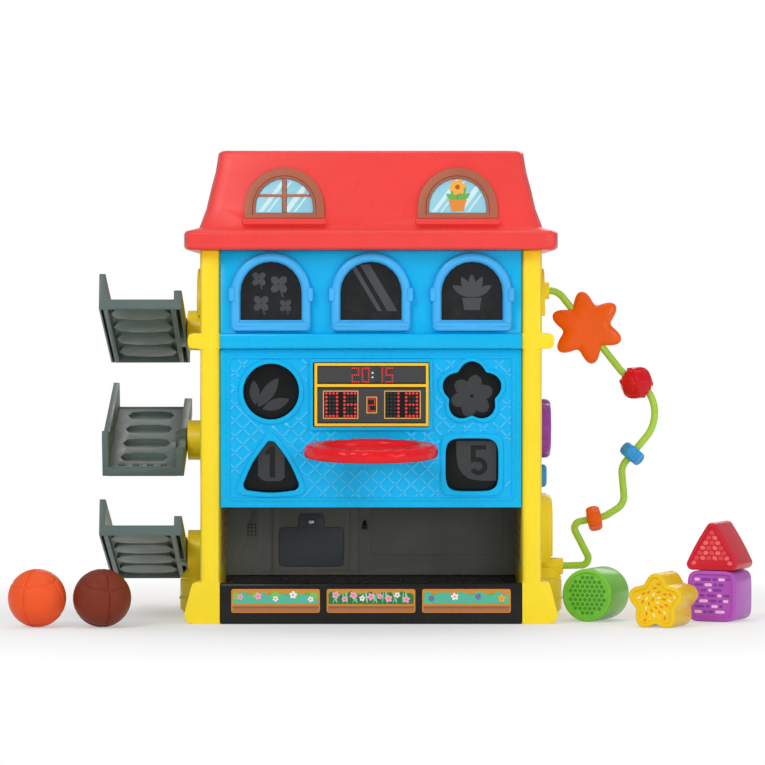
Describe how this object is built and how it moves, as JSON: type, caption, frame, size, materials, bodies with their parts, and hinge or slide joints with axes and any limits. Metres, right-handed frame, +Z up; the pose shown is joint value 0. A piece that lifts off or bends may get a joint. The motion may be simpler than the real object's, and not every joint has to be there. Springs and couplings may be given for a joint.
{
  "type": "activity house toy",
  "caption": "Play house with shape sorter holes, hoop, catch tray, tilting ball ramps, bead wire and loose shape blocks and balls.",
  "frame": {"origin": "middle of the house's flat base underside", "axes": "+X to the right of the house seen from its front, +Y to its back, +Z up"},
  "size_m": [0.673, 0.3827, 0.427],
  "materials": {
    "yellow_plastic": "moulded yellow plastic",
    "blue_plastic": "moulded blue plastic",
    "light_blue_plastic": "moulded light blue plastic",
    "red_plastic": "moulded red plastic",
    "hoop_plastic": "glossy red plastic",
    "black_plastic": "black plastic",
    "smoked_plastic": "smoked glossy plastic",
    "grey_plastic": "grey green plastic",
    "brown_plastic": "brown plastic",
    "pane_sheet": "printed light blue sheet",
    "wire_plastic": "green coated wire",
    "orange_plastic": "glossy orange plastic",
    "bead_red_plastic": "glossy red plastic",
    "bead_blue_plastic": "glossy blue plastic",
    "purple_plastic": "glossy purple plastic",
    "block_green_plastic": "glossy green plastic",
    "block_red_plastic": "glossy red plastic",
    "block_yellow_plastic": "glossy yellow plastic",
    "ball_orange_plastic": "orange plastic",
    "ball_brown_plastic": "brown plastic",
    "steel": "plated steel",
    "circuit_board": "green circuit board",
    "cell_sleeve": "sleeved steel can",
    "speaker_body": "speaker basket and magnet",
    "sign_sheet": "printed dark sheet",
    "pad_sheet": "printed pads"
  },
  "bodies": {
    "house": {"left_side_wall": "yellow_plastic", "right_side_wall": "yellow_plastic", "back_panel": "yellow_plastic", "ramp_cap_top": "yellow_plastic", "ramp_cap_middle": "yellow_plastic", "ramp_cap_bottom": "yellow_plastic", "upper_front_panel": "blue_plastic", "lower_front_panel": "blue_plastic", "window_frame_left": "light_blue_plastic", "window_frame_middle": "light_blue_plastic", "window_frame_right": "light_blue_plastic", "roof": "red_plastic", "hoop": "hoop_plastic", "base_tray": "black_plastic", "electronics_housing": "black_plastic", "window_lens_left": "smoked_plastic", "window_lens_middle": "smoked_plastic", "window_lens_right": "smoked_plastic", "roof_window_frame_left": "brown_plastic", "roof_window_frame_right": "brown_plastic", "roof_window_pane_left": "pane_sheet", "roof_window_pane_right": "pane_sheet", "bead_wire": "wire_plastic", "side_plate": "bead_blue_plastic", "battery_contact_left": "steel", "battery_contact_right": "steel", "circuit_board": "circuit_board", "battery_lower": "cell_sleeve", "battery_upper": "cell_sleeve", "speaker": "speaker_body", "scoreboard_plate": "sign_sheet", "planter_pad_left": "pad_sheet", "planter_pad_middle": "pad_sheet", "planter_pad_right": "pad_sheet"},
    "ramp_top_body": {"ramp_top": "grey_plastic"},
    "ramp_middle_body": {"ramp_middle": "grey_plastic"},
    "ramp_bottom_body": {"ramp_bottom": "grey_plastic"},
    "flap_circle_body": {"flap_circle": "black_plastic"},
    "flap_star_body": {"flap_star": "black_plastic"},
    "flap_triangle_body": {"flap_triangle": "black_plastic"},
    "flap_square_body": {"flap_square": "black_plastic"},
    "battery_cover": {"battery_door": "black_plastic", "battery_door_screw": "steel"},
    "switch_knob": {"power_switch": "black_plastic"},
    "dial": {"side_dial": "purple_plastic"},
    "star_bead": {"bead_star": "orange_plastic"},
    "ball_bead": {"bead_ball": "bead_red_plastic"},
    "blue_bead": {"bead_blue": "bead_blue_plastic"},
    "orange_bead": {"bead_orange": "orange_plastic"},
    "orange_ball": {"ball_orange": "ball_orange_plastic"},
    "brown_ball": {"ball_brown": "ball_brown_plastic"},
    "cylinder_block": {"block_cylinder": "block_green_plastic"},
    "star_block": {"block_star": "block_yellow_plastic"},
    "square_block": {"block_square": "purple_plastic"},
    "triangle_block": {"block_triangle": "block_red_plastic"}
  },
  "joints": [
    {"name": "ramp_top_tilt", "type": "hinge", "parent": "house", "child": "ramp_top_body", "pos_m": [-0.1745, 0, 0.264], "axis": [1, 0, 0], "range_deg": [0, 31]},
    {"name": "ramp_middle_tilt", "type": "hinge", "parent": "house", "child": "ramp_middle_body", "pos_m": [-0.1745, 0, 0.162], "axis": [-1, 0, 0], "range_deg": [0, 31]},
    {"name": "ramp_bottom_tilt", "type": "hinge", "parent": "house", "child": "ramp_bottom_body", "pos_m": [-0.1745, 0, 0.06], "axis": [1, 0, 0], "range_deg": [0, 31]},
    {"name": "flap_circle_swing", "type": "hinge", "parent": "house", "child": "flap_circle_body", "pos_m": [-0.09, -0.113, 0.242], "axis": [1, 0, 0], "range_deg": [0, 70]},
    {"name": "flap_star_swing", "type": "hinge", "parent": "house", "child": "flap_star_body", "pos_m": [0.091, -0.113, 0.242], "axis": [1, 0, 0], "range_deg": [0, 70]},
    {"name": "flap_triangle_swing", "type": "hinge", "parent": "house", "child": "flap_triangle_body", "pos_m": [-0.09, -0.113, 0.175], "axis": [1, 0, 0], "range_deg": [0, 70]},
    {"name": "flap_square_swing", "type": "hinge", "parent": "house", "child": "flap_square_body", "pos_m": [0.091, -0.113, 0.175], "axis": [1, 0, 0], "range_deg": [0, 70]},
    {"name": "battery_cover_lift_off", "type": "slide", "parent": "house", "child": "battery_cover", "axis": [0, -1, 0], "range_m": [0, 0.04]},
    {"name": "switch_slide", "type": "slide", "parent": "house", "child": "switch_knob", "axis": [0, 0, 1], "range_m": [0, 0.004]},
    {"name": "dial_spin", "type": "hinge", "parent": "house", "child": "dial", "pos_m": [0.1523, 0, 0.173], "axis": [1, 0, 0], "continuous": true},
    {"name": "star_bead_spin", "type": "hinge", "parent": "house", "child": "star_bead", "pos_m": [0.20116, 0.01, 0.26657], "axis": [0.6215, 0, -0.7834], "continuous": true},
    {"name": "ball_bead_travel", "type": "hinge", "parent": "house", "child": "ball_bead", "pos_m": [0.22903, 0.01, 0.187], "axis": [0, 1, 0], "range_deg": [0, 78]},
    {"name": "blue_bead_spin", "type": "hinge", "parent": "house", "child": "blue_bead", "pos_m": [0.24351, 0.01, 0.14902], "axis": [-0.6427, 0, -0.7661], "continuous": true},
    {"name": "orange_bead_spin", "type": "hinge", "parent": "house", "child": "orange_bead", "pos_m": [0.20811, 0.01, 0.08858], "axis": [-0.9798, 0, -0.2], "continuous": true},
    {"name": "orange_ball_lift", "type": "slide", "parent": "house", "child": "orange_ball", "axis": [0, 0, 1], "range_m": [0, 0.12]},
    {"name": "brown_ball_lift", "type": "slide", "parent": "house", "child": "brown_ball", "axis": [0, 0, 1], "range_m": [0, 0.12]},
    {"name": "cylinder_block_lift", "type": "slide", "parent": "house", "child": "cylinder_block", "axis": [0, 0, 1], "range_m": [0, 0.12]},
    {"name": "star_block_lift", "type": "slide", "parent": "house", "child": "star_block", "axis": [0, 0, 1], "range_m": [0, 0.12]},
    {"name": "square_block_lift", "type": "slide", "parent": "house", "child": "square_block", "axis": [0, 0, 1], "range_m": [0, 0.12]},
    {"name": "triangle_block_lift", "type": "slide", "parent": "square_block", "child": "triangle_block", "axis": [0, 0, 1], "range_m": [0, 0.12]}
  ]
}
